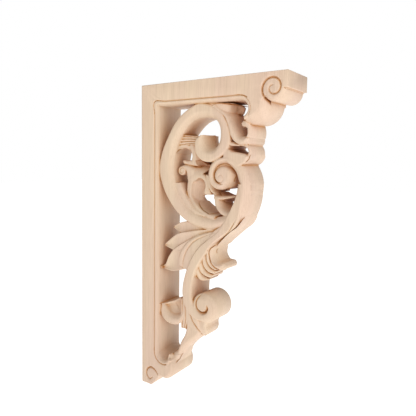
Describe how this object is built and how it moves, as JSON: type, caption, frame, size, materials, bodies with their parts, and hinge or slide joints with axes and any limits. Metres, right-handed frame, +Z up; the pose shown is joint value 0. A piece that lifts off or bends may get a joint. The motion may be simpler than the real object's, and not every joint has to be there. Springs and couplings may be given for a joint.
{
  "type": "carved corbel bracket",
  "caption": "Carved hardwood corbel bracket: an L-shaped frame for wall and shelf, filled with a pierced C-scroll, volutes and acanthus leaves.",
  "frame": {"origin": "centre of the flat back face that lies on the wall", "axes": "+Z up along the wall, +X out from the wall, +Y across the width"},
  "size_m": [0.1524, 0.0382, 0.2984],
  "materials": {
    "wood": "raw sanded hardwood, satin"
  },
  "bodies": {
    "root": {"corbel_bracket": "wood"}
  },
  "joints": []
}
